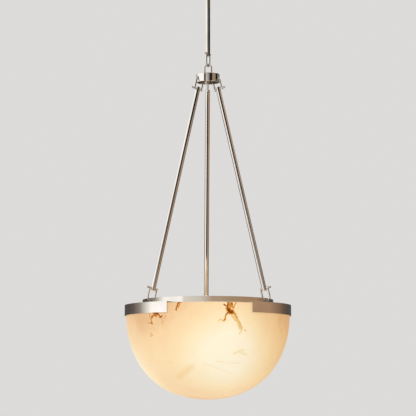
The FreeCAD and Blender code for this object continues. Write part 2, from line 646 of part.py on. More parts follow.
def make_clamps():
    """Liners between tab and stone, and the studs, bushes, clamp plates and nuts."""
    thick = S.tab_thickness
    apron_inside = S.tab_radius - thick
    rim = -(thick + S.rim_gap)
    liner_outside = apron_inside - S.facet_gap
    plate_inside = stone_bore - S.clamp_thickness
    stud_start = apron_inside + S.stud_socket - S.stud_length
    liners = []
    plates = []
    studs = []
    bushes = []
    nuts = []
    for number, azimuth in enumerate(ATTACHMENTS, start=1):
        here = radial(azimuth, 0.0, RING_Z)
        label = "rim_liner_%d" % number
        blank = turned(label + "_blank",
                       [(stone_bore, -thick), (liner_outside, -thick),
                        (liner_outside, -thick - S.liner_height),
                        (stone_radius, -thick - S.liner_height), (stone_radius, rim),
                        (stone_bore, rim)], angle=S.liner_angle)
        holes = [outward("%s_hole_%s" % (label, side), S.stud_diameter / 2, S.stone_gap * 3,
                         offset, stone_radius - S.stone_gap, -S.stud_drop)
                 for side, offset in zip("ab", stud_azimuths())]
        liner = cut(label, blank, holes)
        liner.Placement = here
        liners.append(liner)

        label = "clamp_plate_%d" % number
        high = S.clamp_height / 2 - S.stud_drop
        low = -(S.stud_drop + S.clamp_height / 2)
        blank = turned(label + "_blank", [(plate_inside, low), (stone_bore, low),
                                          (stone_bore, high), (plate_inside, high)],
                       angle=S.clamp_angle)
        holes = [outward("%s_hole_%s" % (label, side), S.stud_diameter / 2,
                         S.clamp_thickness * 3, offset, plate_inside - S.clamp_thickness,
                         -S.stud_drop)
                 for side, offset in zip("ab", stud_azimuths())]
        plate = cut(label, blank, holes)
        plate.Placement = here
        plates.append(plate)

        for side, offset in zip("ab", stud_azimuths()):
            name = "%d%s" % (number, side)
            turn = azimuth + offset
            studs.append(outward("stud_" + name, S.stud_diameter / 2, S.stud_length, turn,
                                 stud_start, STUD_Z))
            bush_start = stone_bore + S.facet_gap
            bush_length = S.stone_wall - S.facet_gap * 2
            blank = outward("bush_blank_" + name, S.bush_diameter / 2, bush_length, turn,
                            bush_start, STUD_Z)
            bore = outward("bush_bore_" + name, S.stud_diameter / 2, bush_length, turn,
                           bush_start, STUD_Z)
            bushes.append(cut("bush_" + name, blank, [bore]))
            nut_start = plate_inside - S.facet_gap - S.stud_nut_height
            nut = hexagon("stud_nut_blank_" + name, S.stud_nut_flats, S.stud_nut_height,
                          (0, 0, 0))
            bore = cylinder("stud_nut_bore_" + name, S.stud_diameter / 2, S.stud_nut_height)
            nut = cut("stud_nut_" + name, nut, [bore])
            nut.Placement = radial(turn, float(nut_start), STUD_Z).multiply(
                FreeCAD.Placement(FreeCAD.Vector(), FreeCAD.Rotation(Y_AXIS, 90.0)))
            nuts.append(nut)
    node("rim_liners", group("rim_liners", liners))
    node("clamp_plates", group("clamp_plates", plates))
    node("bracket_studs", group("bracket_studs", studs))
    node("stone_bushes", group("stone_bushes", bushes))
    node("stud_nuts", group("stud_nuts", nuts))


# ---------------------------------------------------------------- lamp cluster

def make_spider():
    """Three flat arms from a centre disc to lugs against the ring's inner face."""
    low = S.spider_lift
    lug_face = S.ring_radius - S.ring_thickness - S.facet_gap * 2
    lug_inside = lug_face - S.spider_thickness
    parts = [cylinder("spider_disc", S.spider_disc_radius, S.spider_thickness, (0, 0, low))]
    screws = []
    lug_holes = []
    for number, azimuth in enumerate(GAPS, start=1):
        arm = box("spider_arm_%d" % number, lug_face, S.spider_width, S.spider_thickness,
                  (ZERO, -S.spider_width / 2, low))
        lug = box("spider_lug_%d" % number, S.spider_thickness, S.spider_width, S.lug_height,
                  (lug_inside, -S.spider_width / 2, low))
        arm_and_lug = fuse("spider_limb_%d" % number, [arm, lug])
        arm_and_lug.Placement = radial(azimuth, 0.0, 0.0)
        parts.append(arm_and_lug)
        lug_holes.append(outward("lug_hole_%d" % number, S.screw_diameter / 2,
                                 S.spider_thickness * 2, azimuth,
                                 lug_inside - S.spider_thickness / 2, lug_screw_z()))
        reach = S.facet_gap * 2 + S.spider_thickness + S.lug_screw_depth
        screw_z = RING_Z + float(lug_screw_z())
        shank = outward("spider_shank_%d" % number, S.screw_diameter / 2, reach, azimuth,
                        lug_inside, screw_z)
        head = outward("spider_head_%d" % number, S.screw_head_diameter / 2,
                       S.screw_head_height, azimuth, lug_inside - S.screw_head_height, screw_z)
        screws.append(fuse("spider_screw_%d" % number, [shank, head]))
    hole = cylinder("spider_hole", S.spider_hole_diameter / 2, S.spider_thickness, (0, 0, low))
    spider = cut("lamp_spider", fuse("spider_blank", parts), [hole] + lug_holes)
    node("lamp_spider", spider, FreeCAD.Placement(FreeCAD.Vector(0, 0, RING_Z),
                                                  FreeCAD.Rotation()))
    node("spider_screws", group("spider_screws", screws))


def lamp_places():
    """The place of each lamp: origin at the holder's back, Z out along the bulb."""
    places = []
    for turn in (0.0, 120.0, 240.0):
        here = radial(float(S.lamp_azimuth) + turn, float(S.lamp_radius),
                      RING_Z - float(S.lamp_drop))
        tilt = FreeCAD.Rotation(Y_AXIS, 180.0 - float(S.lamp_tilt))
        places.append(here.multiply(FreeCAD.Placement(FreeCAD.Vector(), tilt)))
    return places


def make_lamps():
    """Junction cup under the spider, with three holders, bulb caps and bulb glasses."""
    top = S.spider_lift
    low = top - S.cup_height
    bore = S.cup_radius - S.cup_wall
    blank = turned("cup_blank", [(ZERO, low), (S.cup_radius, low), (S.cup_radius, top),
                                 (bore, top), (bore, low + S.cup_wall),
                                 (ZERO, low + S.cup_wall)])
    level = FreeCAD.Placement(FreeCAD.Vector(0, 0, RING_Z), FreeCAD.Rotation())
    places = lamp_places()
    back = S.lamp_nipple_length - S.nipple_wall * 4
    holes = []
    nipples = []
    for number, place_of_lamp in enumerate(places, start=1):
        hole = cylinder("cup_hole_%d" % number, S.nipple_diameter / 2, S.lamp_nipple_length)
        hole.Placement = level.inverse().multiply(place_of_lamp).multiply(
            FreeCAD.Placement(FreeCAD.Vector(0, 0, -float(back)), FreeCAD.Rotation()))
        holes.append(hole)
        tube = cylinder("lamp_nipple_tube_%d" % number, S.nipple_diameter / 2,
                        S.lamp_nipple_length, (0, 0, -back))
        wire_way = cylinder("lamp_nipple_bore_%d" % number,
                            S.nipple_diameter / 2 - S.nipple_wall, S.lamp_nipple_length,
                            (0, 0, -back))
        nipple = cut("lamp_nipple_%d" % number, tube, [wire_way])
        nipple.Placement = place_of_lamp
        nipples.append(nipple)

        label = "lamp_holder_%d" % number
        shell = cylinder(label + "_shell", S.holder_radius, S.holder_length)
        mouth = cylinder(label + "_mouth", S.cap_radius + S.cap_gap, S.holder_depth,
                         (0, 0, S.holder_length - S.holder_depth))
        seat = cylinder(label + "_seat", S.nipple_diameter / 2, S.nipple_wall * 4)
        node(label, cut(label, shell, [mouth, seat]), place_of_lamp)

        label = "bulb_cap_%d" % number
        button_z = S.holder_length - S.holder_depth
        cap_z = button_z + S.button_height
        button = cylinder(label + "_button", S.button_radius, S.button_height,
                          (0, 0, button_z))
        can = cylinder(label + "_can", S.cap_radius, S.cap_length, (0, 0, cap_z))
        node(label, fuse(label, [button, can]), place_of_lamp)

        label = "bulb_glass_%d" % number
        outer = bulb_form(label + "_outer", S.globe_radius, S.cap_radius,
                          cap_z + S.cap_length)
        inner = bulb_form(label + "_inner", S.globe_radius - S.glass_wall,
                          S.cap_radius - S.glass_wall, cap_z + S.cap_length + S.glass_wall)
        node(label, cut(label, outer, [inner]), place_of_lamp)
    node("junction_cup", cut("junction_cup", blank, holes), level)
    node("lamp_nipples", group("lamp_nipples", nipples))


def bulb_form(name, globe, neck, start):
    """A globe on a tapering neck: the cone meets the sphere where it is tangent."""
    centre = float(S.globe_offset) - float(start - S.holder_length)
    centre_z = start + centre
    sine = (float(globe) - float(neck)) / math.hypot(centre, float(globe) - float(neck))
    meet_z = centre - float(globe) * sine
    meet_radius = float(globe) * math.sqrt(1.0 - sine * sine)
    return fuse(name, [cone(name + "_neck", neck, meet_radius, meet_z, (0, 0, start)),
                       sphere(name + "_globe", globe, (0, 0, centre_z))])


# ---------------------------------------------------------------- build and write

def failed_objects():
    """Names of the objects that did not build, and of nodes with an unusable shape."""
    names = []
    for obj in doc.Objects:
        if "Invalid" in obj.State or "Error" in obj.State:
            names.append(obj.Name)
    for obj in nodes:
        if obj.Shape.isNull() or not obj.Shape.isValid() or not obj.Shape.Solids:
            names.append(obj.Label)
    return names


make_ceiling_end()
make_stem()
make_canopy()
make_shackles()
make_hub()
make_rods()
make_ring()
make_tabs()
make_stone()
make_clamps()
make_spider()
make_lamps()
doc.recompute()

broken = failed_objects()
if broken:
    raise RuntimeError("not built: " + ", ".join(broken))
os.makedirs("parts", exist_ok=True)
for item in nodes:
    item.Shape.exportStep("parts/%s.step" % item.Label)
print("%d nodes written" % len(nodes))
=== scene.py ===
import json
import math
import bmesh
import bpy
from mathutils import Matrix, Vector


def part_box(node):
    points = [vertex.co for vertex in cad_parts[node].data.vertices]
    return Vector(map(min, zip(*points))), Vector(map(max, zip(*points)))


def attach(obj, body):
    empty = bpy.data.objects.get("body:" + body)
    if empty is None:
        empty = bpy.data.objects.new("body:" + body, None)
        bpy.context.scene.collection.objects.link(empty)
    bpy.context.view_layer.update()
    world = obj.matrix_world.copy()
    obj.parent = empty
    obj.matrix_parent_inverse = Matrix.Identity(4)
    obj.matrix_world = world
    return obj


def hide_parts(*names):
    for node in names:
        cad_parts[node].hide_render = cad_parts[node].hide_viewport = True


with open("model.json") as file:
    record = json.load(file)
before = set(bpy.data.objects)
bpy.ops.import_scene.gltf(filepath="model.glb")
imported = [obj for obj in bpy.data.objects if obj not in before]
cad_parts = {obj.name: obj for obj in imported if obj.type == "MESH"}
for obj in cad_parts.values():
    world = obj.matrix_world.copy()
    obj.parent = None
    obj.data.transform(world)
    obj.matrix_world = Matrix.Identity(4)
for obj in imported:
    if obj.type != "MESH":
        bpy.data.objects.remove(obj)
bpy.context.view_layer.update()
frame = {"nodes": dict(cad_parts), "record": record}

# Alabaster bowl pendant: looks.  Metres, in the frame's own axes: z = 0 is the ceiling.

BODY_OF = {node: body for body, members in frame["record"]["behaviour"]["bodies"].items()
           for node in members}
SLOT_OF = {part["node"]: part["material_slot"] for part in frame["record"]["subparts"]}

MM = 1000.0
RING_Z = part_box("crown_ring")[0].z

# Azimuths, the rods' lean and the lamps' tilt are in degrees.  A pin's place is its
# radius from the middle and its height.
ATTACHMENTS = (90.0, 210.0, 330.0)
LEAN = 14.158
UPPER_PIN = (0.04326, -0.46258)
LOWER_PIN = (0.23004, -1.20298)
TOP_PIN = (0.0, -0.328)
TOP_PIN_AZIMUTH = 245.0
LAMP_AZIMUTH = 286.0
LAMP_TILT = 135.0
LAMP_RADIUS = 0.05
LAMP_DROP = 0.025
SMOOTH_ANGLE = math.radians(32.0)
FLAT_ANGLE = math.radians(0.4)
MERGE_DISTANCE = 1e-6


# ---------------------------------------------------------------- shader helpers

def add(tree, kind, values=None, **settings):
    """Add a node; values maps an input to a number or to another node's output."""
    new = tree.nodes.new(kind)
    for name, value in settings.items():
        setattr(new, name, value)
    for key, value in (values or {}).items():
        if isinstance(value, bpy.types.NodeSocket):
            tree.links.new(value, new.inputs[key])
        else:
            new.inputs[key].default_value = value
    return new


def math_node(tree, operation, a, b=0.0, c=0.0, clamp=False):
    new = add(tree, "ShaderNodeMath", {0: a, 1: b, 2: c}, operation=operation, use_clamp=clamp)
    return new.outputs[0]


def vector_node(tree, operation, a, b=(0.0, 0.0, 0.0)):
    new = add(tree, "ShaderNodeVectorMath", {0: a, 1: b}, operation=operation)
    return new.outputs["Value" if operation in ("LENGTH", "DOT_PRODUCT") else "Vector"]


def noise_node(tree, vector, scale, detail=3.0, roughness=0.5, distortion=0.0):
    new = add(tree, "ShaderNodeTexNoise", {"Vector": vector, "Scale": scale, "Detail": detail,
                                           "Roughness": roughness, "Distortion": distortion})
    return new


def ramp(tree, factor, stops):
    """A colour ramp through (position, colour) stops."""
    new = add(tree, "ShaderNodeValToRGB", {"Fac": factor})
    elements = new.color_ramp.elements
    while len(elements) < len(stops):
        elements.new(0.5)
    for element, (position, colour) in zip(elements, stops):
        element.position = position
        element.color = tuple(colour) + (1.0,)
    return new.outputs["Color"]


def rescale(tree, value, low, high, new_low, new_high):
    """Map low..high to new_low..new_high, clamped at both ends."""
    new = add(tree, "ShaderNodeMapRange", {0: value, 1: low, 2: high, 3: new_low, 4: new_high})
    return new.outputs[0]


def mix(tree, factor, a, b, blend="MIX"):
    new = add(tree, "ShaderNodeMix", {0: factor, 6: a, 7: b}, data_type="RGBA", blend_type=blend)
    return new.outputs[2]


def rgb(*levels):
    """Linear colour from 0 to 255 display levels."""
    linear = []
    for level in levels:
        value = level / 255.0
        linear.append(value / 12.92 if value <= 0.04045 else ((value + 0.055) / 1.055) ** 2.4)
    return tuple(linear)


def opaque(colour):
    return tuple(colour) + (1.0,)


def start_material(name):
    """An empty node material: its tree, its Principled shader and its object coordinates."""
    material = bpy.data.materials.new(name)
    material.use_nodes = True
    tree = material.node_tree
    tree.nodes.clear()
    shader = tree.nodes.new("ShaderNodeBsdfPrincipled")
    output = tree.nodes.new("ShaderNodeOutputMaterial")
    tree.links.new(shader.outputs[0], output.inputs[0])
    coordinates = tree.nodes.new("ShaderNodeTexCoord").outputs["Object"]
    return material, tree, shader, coordinates


def bump(tree, shader, height, distance, strength):
    new = add(tree, "ShaderNodeBump",
              {"Height": height, "Distance": distance, "Strength": strength})
    tree.links.new(new.outputs[0], shader.inputs["Normal"])


# ---------------------------------------------------------------- materials

def plated_metal(name, dark, light, roughness):
    """Plated metal: slow tone drift, hand-polishing streaks in gloss, and a faint wave."""
    material, tree, shader, coordinates = start_material(name)
    drift = noise_node(tree, coordinates, 9.0, 3.0)
    tone = mix(tree, rescale(tree, drift.outputs[0], 0.3, 0.7, 0.0, 1.0), opaque(dark),
               opaque(light))
    tree.links.new(tone, shader.inputs["Base Color"])
    shader.inputs["Metallic"].default_value = 1.0
    stretched = vector_node(tree, "MULTIPLY", coordinates, (1.0, 1.0, 0.15))
    streaks = noise_node(tree, stretched, 420.0, 4.0, 0.6)
    smudges = noise_node(tree, coordinates, 38.0, 4.0, 0.65)
    blend = math_node(tree, "MULTIPLY_ADD", streaks.outputs[0], 0.45, smudges.outputs[0])
    tree.links.new(rescale(tree, blend, 0.45, 1.0, roughness[0], roughness[1]),
                   shader.inputs["Roughness"])
    ripple = noise_node(tree, coordinates, 26.0, 2.0)
    wave = math_node(tree, "MULTIPLY_ADD", streaks.outputs[0], 0.15, ripple.outputs[0])
    bump(tree, shader, wave, 0.00003, 0.6)
    return material


def zinc_steel():
    """Zinc-plated steel: pale blue-grey with small crystals and worn high spots."""
    material, tree, shader, coordinates = start_material("zinc_steel")
    cells = add(tree, "ShaderNodeTexVoronoi", {"Vector": coordinates, "Scale": 260.0})
    drift = noise_node(tree, coordinates, 60.0, 4.0)
    blend = math_node(tree, "MULTIPLY_ADD", cells.outputs["Distance"], 0.5, drift.outputs[0])
    colour = ramp(tree, blend, ((0.35, rgb(176, 178, 176)), (0.75, rgb(204, 205, 202)),
                                (1.0, rgb(220, 214, 196))))
    tree.links.new(colour, shader.inputs["Base Color"])
    shader.inputs["Metallic"].default_value = 1.0
    tree.links.new(rescale(tree, blend, 0.3, 1.0, 0.28, 0.5), shader.inputs["Roughness"])
    bump(tree, shader, blend, 0.00004, 0.5)
    return material


def painted(name, dark, light, roughness, peel):
    """Sprayed finish: slight tone drift and orange peel."""
    material, tree, shader, coordinates = start_material(name)
    drift = noise_node(tree, coordinates, 30.0, 4.0, 0.6)
    tree.links.new(mix(tree, drift.outputs[0], opaque(dark), opaque(light)),
                   shader.inputs["Base Color"])
    skin = noise_node(tree, coordinates, peel, 2.0)
    tree.links.new(rescale(tree, drift.outputs[0], 0.3, 0.7, roughness - 0.06, roughness + 0.08),
                   shader.inputs["Roughness"])
    bump(tree, shader, skin.outputs[0], 0.00005, 0.35)
    return material


def opal_glass():
    """Frosted bulb glass that shines from within, its brightness and tone varying in clouds."""
    material, tree, shader, coordinates = start_material("opal_glass")
    frost = noise_node(tree, coordinates, 900.0, 3.0)
    cloud = noise_node(tree, coordinates, 22.0, 3.0)
    colour = mix(tree, cloud.outputs[0], opaque(rgb(255, 232, 196)), opaque(rgb(255, 244, 222)))
    tree.links.new(colour, shader.inputs["Base Color"])
    tree.links.new(colour, shader.inputs["Emission Color"])
    tree.links.new(rescale(tree, cloud.outputs[0], 0.3, 0.7, 2.4, 3.2),
                   shader.inputs["Emission Strength"])
    tree.links.new(rescale(tree, frost.outputs[0], 0.3, 0.7, 0.3, 0.5),
                   shader.inputs["Roughness"])
    bump(tree, shader, frost.outputs[0], 0.00002, 0.4)
    return material


# Veins of the stone as lines of (azimuth in degrees, height in mm from the ring, downward
# below 0), each with its half-width in mm and its depth of colour.  Much more than 68
# stretches of line are too many for the renderer, and the stone turns black.
VEINS = (
    ((282.3, -6), (282.4, -13), (281.7, -23), (282.3, -29), (283.0, -39), 3.2, 0.98),
    ((279.2, -13), (280.2, -16), (281.3, -21), (282.1, -28), 2.3, 0.9),
    ((284.8, -7), (285.2, -15), (285.1, -21), (286.1, -27), 3.4, 0.66),
    ((287.7, -7), (287.5, -12), (286.8, -17), (286.3, -26), 2.6, 0.55),
    ((283.7, -8), (283.7, -21), 11.0, 0.42),
    ((282.3, -30), (283.4, -39), (285.2, -40), 9.5, 0.8),
    ((282.9, -39), (281.4, -45), (280.6, -51), (280.2, -59), (279.8, -68), 3.4, 0.74),
    ((280.1, -67), (279.5, -71), 4.2, 0.5),
    ((279.7, -70), (278.5, -71), (276.8, -67), (275.4, -72), 2.2, 0.3),
    ((285.2, -41), (287.4, -57), (289.5, -74), (291.5, -96), 8.5, 0.2),
    ((285.7, -37), (287.4, -47), (288.6, -59), 4.0, 0.52),
    ((288.6, -59), (289.2, -66), (291.3, -83), 2.2, 0.4),
    ((291.7, -85), (293.0, -97), (290.8, -115), 1.9, 0.36),
    ((283.9, -45), (285.2, -57), (287.9, -74), 2.4, 0.3),
    ((228.2, -38), (230.5, -40), (232.2, -43), 4.4, 0.8),
    ((229.0, -40), (228.8, -47), (227.6, -51), (226.2, -58), 3.8, 0.7),
    ((229.9, -45), (230.6, -47), 8.0, 0.54),
    ((231.4, -39), (232.8, -47), (234.2, -57), (235.3, -53), 3.3, 0.78),
    ((224.7, -46), (224.5, -57), 2.8, 0.33),
    ((225.5, -63), (226.4, -72), (226.8, -79), 3.0, 0.5),
    ((225.3, -75), (226.9, -79), 3.4, 0.7),
    ((225.1, -76), (223.0, -72), 1.8, 0.4),
    ((234.6, -59), (236.1, -73), (235.2, -79), 2.2, 0.22),
    ((236.8, -61), (237.5, -55), (239.2, -52), 2.2, 0.22),
    ((223.8, -108), (225.6, -118), (223.8, -122), 2.2, 0.3),
    ((249.5, -7), (247.7, -9), (246.9, -20), (246.5, -33), 3.7, 0.7),
    ((248.9, -14), (247.7, -23), 5.0, 0.34),
    ((294.0, -102), (296.5, -105), 2.6, 0.24),
    ((288.3, -185), (292.3, -176), (295.8, -171), 4.5, 0.1),
    ((292.5, -180), (299.5, -187), 4.5, 0.08),
    ((275.9, -212), (294.6, -216), 4.5, 0.06),
    ((265.6, -217), (277.6, -236), (290.5, -253), 4.5, 0.05),
    ((212.6, -202), (237.4, -212), 4.5, 0.06),
    ((239.0, -264), (254.6, -229), 16.0, 0.06),
)
# Painted light: hot spots painted into the stone's glow opposite the lamps, and how far each
# spreads, in mm.
PAINTED_HOT_SPOTS = ((284.0, -172.0), (44.0, -172.0), (164.0, -172.0))
PAINTED_HOT_SPOT_SPREAD = 112.0

# The stone, in mm from the ring: its straight rim ends at STONE_STRAIGHT, and the rest is
# one curve, full at its side and at its bottom by the two shares.
STONE_RADIUS = 298.0
STONE_STRAIGHT = -25.8
STONE_BOTTOM = -341.0
STONE_WALL = 12.0
SIDE_FULLNESS = 0.62
BOTTOM_FULLNESS = 0.60
UNTINTED = (1.0, 1.0, 1.0)


def stone_curve(radius, bottom, count):
    """(radius, height) in mm down one face of the stone, from its straight rim to its axis."""
    drop = STONE_STRAIGHT - bottom
    poles = ((radius, STONE_STRAIGHT), (radius, STONE_STRAIGHT - SIDE_FULLNESS * drop),
             (radius * BOTTOM_FULLNESS, bottom), (0.0, bottom))
    points = []
    for step in range(count + 1):
        t = step / count
        weights = ((1 - t) ** 3, 3 * t * (1 - t) ** 2, 3 * t * t * (1 - t), t ** 3)
        points.append(tuple(sum(w * pole[axis] for w, pole in zip(weights, poles))
                            for axis in (0, 1)))
    return points


def on_stone(azimuth, height):
    """The point of the stone's outer face at an azimuth and height, in mm under the ring."""
    radius = STONE_RADIUS
    curve = stone_curve(STONE_RADIUS, STONE_BOTTOM, 60)
    for upper, lower in zip(curve, curve[1:]):
        if upper[1] >= height >= lower[1]:
            share = (upper[1] - height) / (upper[1] - lower[1])
            radius = upper[0] + share * (lower[0] - upper[0])
    turn = math.radians(azimuth)
    return Vector((radius * math.cos(turn), radius * math.sin(turn), height))


def near_line(tree, place, reach, start, end):
    """Square of the distance from place to the line between two points; reach is the
    square of place's own length."""
    along = end - start
    step = along / along.length_squared
    share = math_node(tree, "SUBTRACT", vector_node(tree, "DOT_PRODUCT", place, tuple(step)),
                      start.dot(step))
    inside = math_node(tree, "ADD", share, 0.0, clamp=True)
    saved = math_node(tree, "MULTIPLY_ADD", share, -2.0, inside)
    saved = math_node(tree, "MULTIPLY", inside, saved)
    base = vector_node(tree, "DOT_PRODUCT", place, tuple(start))
    base = math_node(tree, "MULTIPLY_ADD", base, -2.0, reach)
    base = math_node(tree, "ADD", base, start.length_squared)
    return math_node(tree, "MULTIPLY_ADD", saved, along.length_squared, base)


def vein_mask(tree, place):
    """The drawn veins: 1 at the middle of the deepest, fading out to their sides."""
    mask = None
    reach = vector_node(tree, "DOT_PRODUCT", place, place)
    for *points, width, depth in VEINS:
        corners = [on_stone(*point) for point in points]
        distance = None
        for start, end in zip(corners, corners[1:]):
            near = near_line(tree, place, reach, start, end)
            distance = near if distance is None else math_node(tree, "MINIMUM", distance, near)
        distance = math_node(tree, "SQRT", math_node(tree, "MAXIMUM", distance, 0.0))
        strength = rescale(tree, distance, 0.3 * width, 1.15 * width, depth, 0.0)
        mask = strength if mask is None else math_node(tree, "MAXIMUM", mask, strength)
    return mask


def shaken(tree, place, noise, reach):
    """place moved by a noise's colour, by up to half of reach each way, in mm."""
    shift = vector_node(tree, "SUBTRACT", noise.outputs["Color"], (0.5, 0.5, 0.5))
    return vector_node(tree, "ADD", place, vector_node(tree, "MULTIPLY", shift, (reach,) * 3))


def back_veins(tree, place, warped, parts):
    """Thin veins of the same kind on the sides that face away from the front."""
    web = noise_node(tree, warped, 0.011, 3.0, 0.55, 0.4).outputs[0]
    web = math_node(tree, "ABSOLUTE", math_node(tree, "SUBTRACT", web, 0.5))
    web = rescale(tree, web, 0.0, 0.012, 0.8, 0.0)
    patch = rescale(tree, noise_node(tree, place, 0.007, 2.0).outputs[0], 0.52, 0.64, 0.0, 1.0)
    behind = rescale(tree, parts[1], -60.0, 60.0, 0.0, 1.0)
    upper = rescale(tree, parts[2], -190.0, -40.0, 0.0, 1.0)
    return math_node(tree, "MULTIPLY", math_node(tree, "MULTIPLY", web, patch),
                     math_node(tree, "MULTIPLY", behind, upper))


def painted_lamp_glow(tree, place, height):
    """Painted light in the stone: how bright its painted glow is, with a painted hot spot
    opposite each lamp, clouds, a painted lighter belly and a painted dimmer foot.
    """
    glow = None
    for spot in PAINTED_HOT_SPOTS:
        distance = vector_node(tree, "LENGTH",
                               vector_node(tree, "SUBTRACT", place, tuple(on_stone(*spot))))
        level = math_node(tree, "MULTIPLY", distance, 1.0 / PAINTED_HOT_SPOT_SPREAD)
        level = math_node(tree, "MULTIPLY", level, level)
        level = math_node(tree, "EXPONENT", math_node(tree, "MULTIPLY", level, -0.5))
        glow = level if glow is None else math_node(tree, "ADD", glow, level)
    # Clouds in the painted light of the stone.
    cloud = noise_node(tree, place, 0.014, 5.0, 0.6, 0.8).outputs[0]
    cloud = math_node(tree, "SUBTRACT", cloud, 0.5)
    glow = math_node(tree, "MULTIPLY_ADD", cloud, 0.3, glow)
    # Painted light: the stone painted lighter on its belly and dimmer at its foot, by height.
    belly = rescale(tree, height, -210.0, -60.0, 0.24, 0.0)
    foot = rescale(tree, height, -338.0, -285.0, -0.17, 0.0)
    return math_node(tree, "ADD", math_node(tree, "ADD", glow, belly), foot)


def tint(tree, across, low, high, low_colour, high_colour):
    """A tint that changes from one side of the stone to the other."""
    return mix(tree, rescale(tree, across, low, high, 0.0, 1.0), opaque(low_colour),
               opaque(high_colour))


def alabaster():
    """Honed alabaster with rust-coloured veins. Its glow is painted light: an emission with
    painted hot spots and clouds stands in for the lamps' light through the stone, and no light
    passes through it.
    """
    material, tree, shader, coordinates = start_material("alabaster")
    place = vector_node(tree, "SUBTRACT", coordinates, (0.0, 0.0, RING_Z))
    place = vector_node(tree, "MULTIPLY", place, (MM, MM, MM))
    parts = add(tree, "ShaderNodeSeparateXYZ", {0: place}).outputs
    wide = noise_node(tree, place, 0.035, 4.0, 0.6)
    fine = noise_node(tree, place, 0.22, 4.0, 0.65)
    warped = shaken(tree, shaken(tree, place, wide, 9.0), fine, 10.0)
    broken = noise_node(tree, place, 0.3, 5.0, 0.7).outputs[0]
    broken = rescale(tree, broken, 0.34, 0.6, 0.72, 1.35)
    drawn = math_node(tree, "MULTIPLY", vein_mask(tree, warped), broken, clamp=True)
    veins = math_node(tree, "MAXIMUM", drawn, back_veins(tree, place, warped, parts))

    # Painted light: the stone's colour from dim amber to near white where the painted hot spots
    # are.
    painted_glow_colour = ramp(tree, painted_lamp_glow(tree, place, parts[2]),
               ((0.0, rgb(228, 184, 136)), (0.2, rgb(246, 211, 163)),
                (0.5, rgb(253, 228, 183)), (0.95, rgb(255, 243, 214))))
    rust = ramp(tree, veins, ((0.0, UNTINTED), (0.2, (0.87, 0.70, 0.42)),
                              (0.5, (0.66, 0.31, 0.035)), (0.75, (0.43, 0.13, 0.004)),
                              (0.98, (0.14, 0.02, 0.0003))))
    # Darker and warmer towards +x, and slightly darker and pinker past -190 mm towards -x; as
    # they multiply the emission too, they also dim the painted light of the stone on those
    # sides.
    plus_x_tint = tint(tree, parts[0], 80.0, 270.0, UNTINTED, (0.91, 0.82, 0.68))
    minus_x_tint = tint(tree, parts[0], -285.0, -190.0, (0.93, 0.885, 0.87), UNTINTED)
    colour = mix(tree, 1.0, mix(tree, 1.0, painted_glow_colour, rust, "MULTIPLY"),
                 mix(tree, 1.0, plus_x_tint, minus_x_tint, "MULTIPLY"), "MULTIPLY")
    # Painted light: the same colour, painted hot spots included, is the base colour at 0.4 and
    # the emission at 0.64, so the stone shines by itself.
    body = mix(tree, 1.0, colour, opaque((0.40, 0.40, 0.40)), "MULTIPLY")
    tree.links.new(body, shader.inputs["Base Color"])
    tree.links.new(colour, shader.inputs["Emission Color"])
    shader.inputs["Emission Strength"].default_value = 0.64
    tree.links.new(rescale(tree, fine.outputs[0], 0.3, 0.7, 0.42, 0.58),
                   shader.inputs["Roughness"])
    shader.inputs["Specular IOR Level"].default_value = 0.2
    pits = noise_node(tree, place, 1.1, 4.0, 0.7)
    bump(tree, shader, pits.outputs[0], 0.00012, 0.25)
    return material


MATERIALS = {
    "polished_nickel": plated_metal("polished_nickel", rgb(198, 193, 186), rgb(216, 212, 206),
                                    (0.04, 0.14)),
    "zinc_steel": zinc_steel(),
    "green_screw": painted("green_screw", (0.03, 0.16, 0.06), (0.05, 0.24, 0.09), 0.35, 700.0),
    "white_enamel": painted("white_enamel", (0.72, 0.70, 0.65), (0.80, 0.78, 0.74), 0.38, 500.0),
    "rubber": painted("rubber", (0.014, 0.014, 0.014), (0.035, 0.034, 0.033), 0.72, 800.0),
    "alabaster": alabaster(),
    "phenolic": painted("phenolic", (0.66, 0.62, 0.53), (0.74, 0.71, 0.63), 0.26, 250.0),
    "cap_brass": plated_metal("cap_brass", (0.52, 0.37, 0.16), (0.66, 0.49, 0.24), (0.18, 0.36)),
    "opal_glass": opal_glass(),
}


# ---------------------------------------------------------------- mesh helpers

def new_piece(name, mesh, node):
    """Put a mesh in the scene in place of the CAD node it stands for."""
    obj = bpy.data.objects.new(name, mesh)
    bpy.context.scene.collection.objects.link(obj)
    slot = SLOT_OF[node]
    mesh.materials.clear()
    mesh.materials.append(MATERIALS[slot])
    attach(obj, BODY_OF[node])
    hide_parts(node)


def shade(mesh):
    """Smooth shading that stops at sharp edges."""
    mesh.shade_smooth()
    mesh.set_sharp_from_angle(angle=SMOOTH_ANGLE)


def applied(mesh, *modifiers):
    """A new mesh: this one after its (kind, settings) modifiers."""
    obj = bpy.data.objects.new("work", mesh)
    bpy.context.scene.collection.objects.link(obj)
    for kind, settings in modifiers:
        modifier = obj.modifiers.new(kind, kind)
        for name, value in settings.items():
            setattr(modifier, name, value)
    graph = bpy.context.evaluated_depsgraph_get()
    result = bpy.data.meshes.new_from_object(obj.evaluated_get(graph))
    bpy.data.objects.remove(obj)
    return result


def bevelled(mesh, width):
    """Edges broken by width, with normals that keep the flat faces flat."""
    shade(mesh)
    return applied(mesh, ("BEVEL", {"width": width, "segments": 2, "limit_method": "ANGLE",
                                    "angle_limit": SMOOTH_ANGLE}),
                   ("WEIGHTED_NORMAL", {"keep_sharp": True, "weight": 80}))


def dress(node, width):
    """A CAD node with its edges broken by width and its curved faces smooth."""
    mesh = frame["nodes"][node].data.copy()
    work = bmesh.new()
    work.from_mesh(mesh)
    bmesh.ops.remove_doubles(work, verts=work.verts, dist=MERGE_DISTANCE)
    bmesh.ops.dissolve_limit(work, angle_limit=FLAT_ANGLE, verts=work.verts, edges=work.edges)
    work.to_mesh(mesh)
    work.free()
    new_piece(node + "_finished", bevelled(mesh, width), node)


def round_steps(segments):
    """(cosine, sine) at equal steps round a circle."""
    return [(math.cos(2 * math.pi * k / segments), math.sin(2 * math.pi * k / segments))
            for k in range(segments)]


